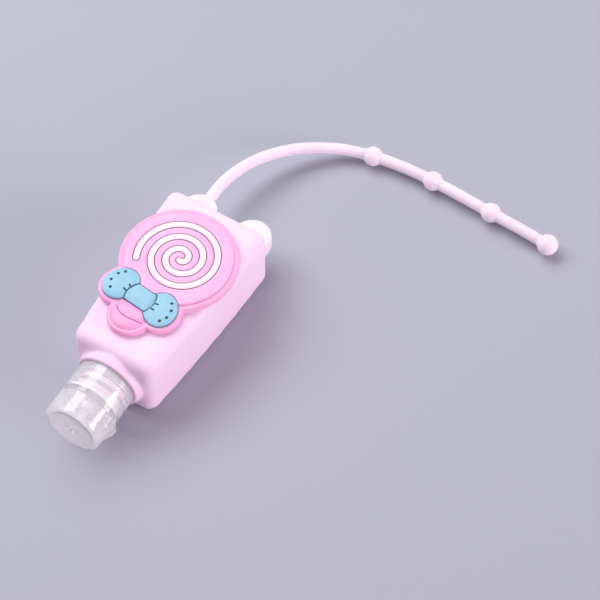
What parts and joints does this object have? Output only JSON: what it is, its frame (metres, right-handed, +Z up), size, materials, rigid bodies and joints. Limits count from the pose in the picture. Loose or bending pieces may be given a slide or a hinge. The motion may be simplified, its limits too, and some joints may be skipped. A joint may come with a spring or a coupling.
{
  "type": "travel bottle with silicone holder",
  "caption": "Small clear flip-top bottle in a soft silicone sleeve with a raised lollipop and bow, two lugs and a beaded strap.",
  "frame": {"origin": "on the surface the bottle lies on, under the middle of the whole without its strap", "axes": "+Y from the cap towards the strap, +Z up out of the lollipop face, +X towards the lid's thumb tab"},
  "size_m": [0.1164, 0.1537, 0.0304],
  "materials": {
    "sleeve_silicone": "satin pale pink silicone",
    "rim_silicone": "satin pink silicone",
    "disc_silicone": "satin pink silicone",
    "mauve_silicone": "matte dark mauve silicone",
    "white_silicone": "satin white silicone",
    "dark_silicone": "matte dark teal silicone",
    "bow_silicone": "satin light blue silicone",
    "clear_plastic": "clear moulded plastic",
    "cap_plastic": "translucent natural plastic",
    "foam": "white foam washer"
  },
  "bodies": {
    "bottle_in_sleeve": {"sleeve": "sleeve_silicone", "bottle": "clear_plastic", "lollipop_rim": "rim_silicone", "lollipop_disc": "disc_silicone", "swirl_outline": "mauve_silicone", "swirl_stripe": "white_silicone", "bow_outline": "dark_silicone", "bow_left_loop": "bow_silicone", "bow_knot": "bow_silicone", "bow_right_loop": "bow_silicone", "wrapper_tail": "disc_silicone", "strap": "sleeve_silicone", "strap_bead_1": "sleeve_silicone", "strap_bead_2": "sleeve_silicone", "strap_bead_3": "sleeve_silicone", "strap_end_ball": "sleeve_silicone"},
    "gasket": {"cap_gasket": "foam"},
    "cap": {"cap_base": "cap_plastic"},
    "lid": {"cap_lid": "cap_plastic"}
  },
  "joints": [
    {"name": "cap_lift", "type": "slide", "parent": "bottle_in_sleeve", "child": "gasket", "axis": [0, -1, 0], "range_m": [0, 0.0048]},
    {"name": "cap_unscrew", "type": "hinge", "parent": "gasket", "child": "cap", "pos_m": [0, -0.04, 0.013], "axis": [0, -1, 0], "range_deg": [0, 540]},
    {"name": "lid_flip", "type": "hinge", "parent": "cap", "child": "lid", "pos_m": [-0.0101, -0.04005, 0.013], "axis": [0, 0, -1], "range_deg": [0, 150]}
  ],
  "couplings": [
    {"joint": "cap_lift", "follows": "cap_unscrew", "m_per_rad": 0.00050532}
  ]
}
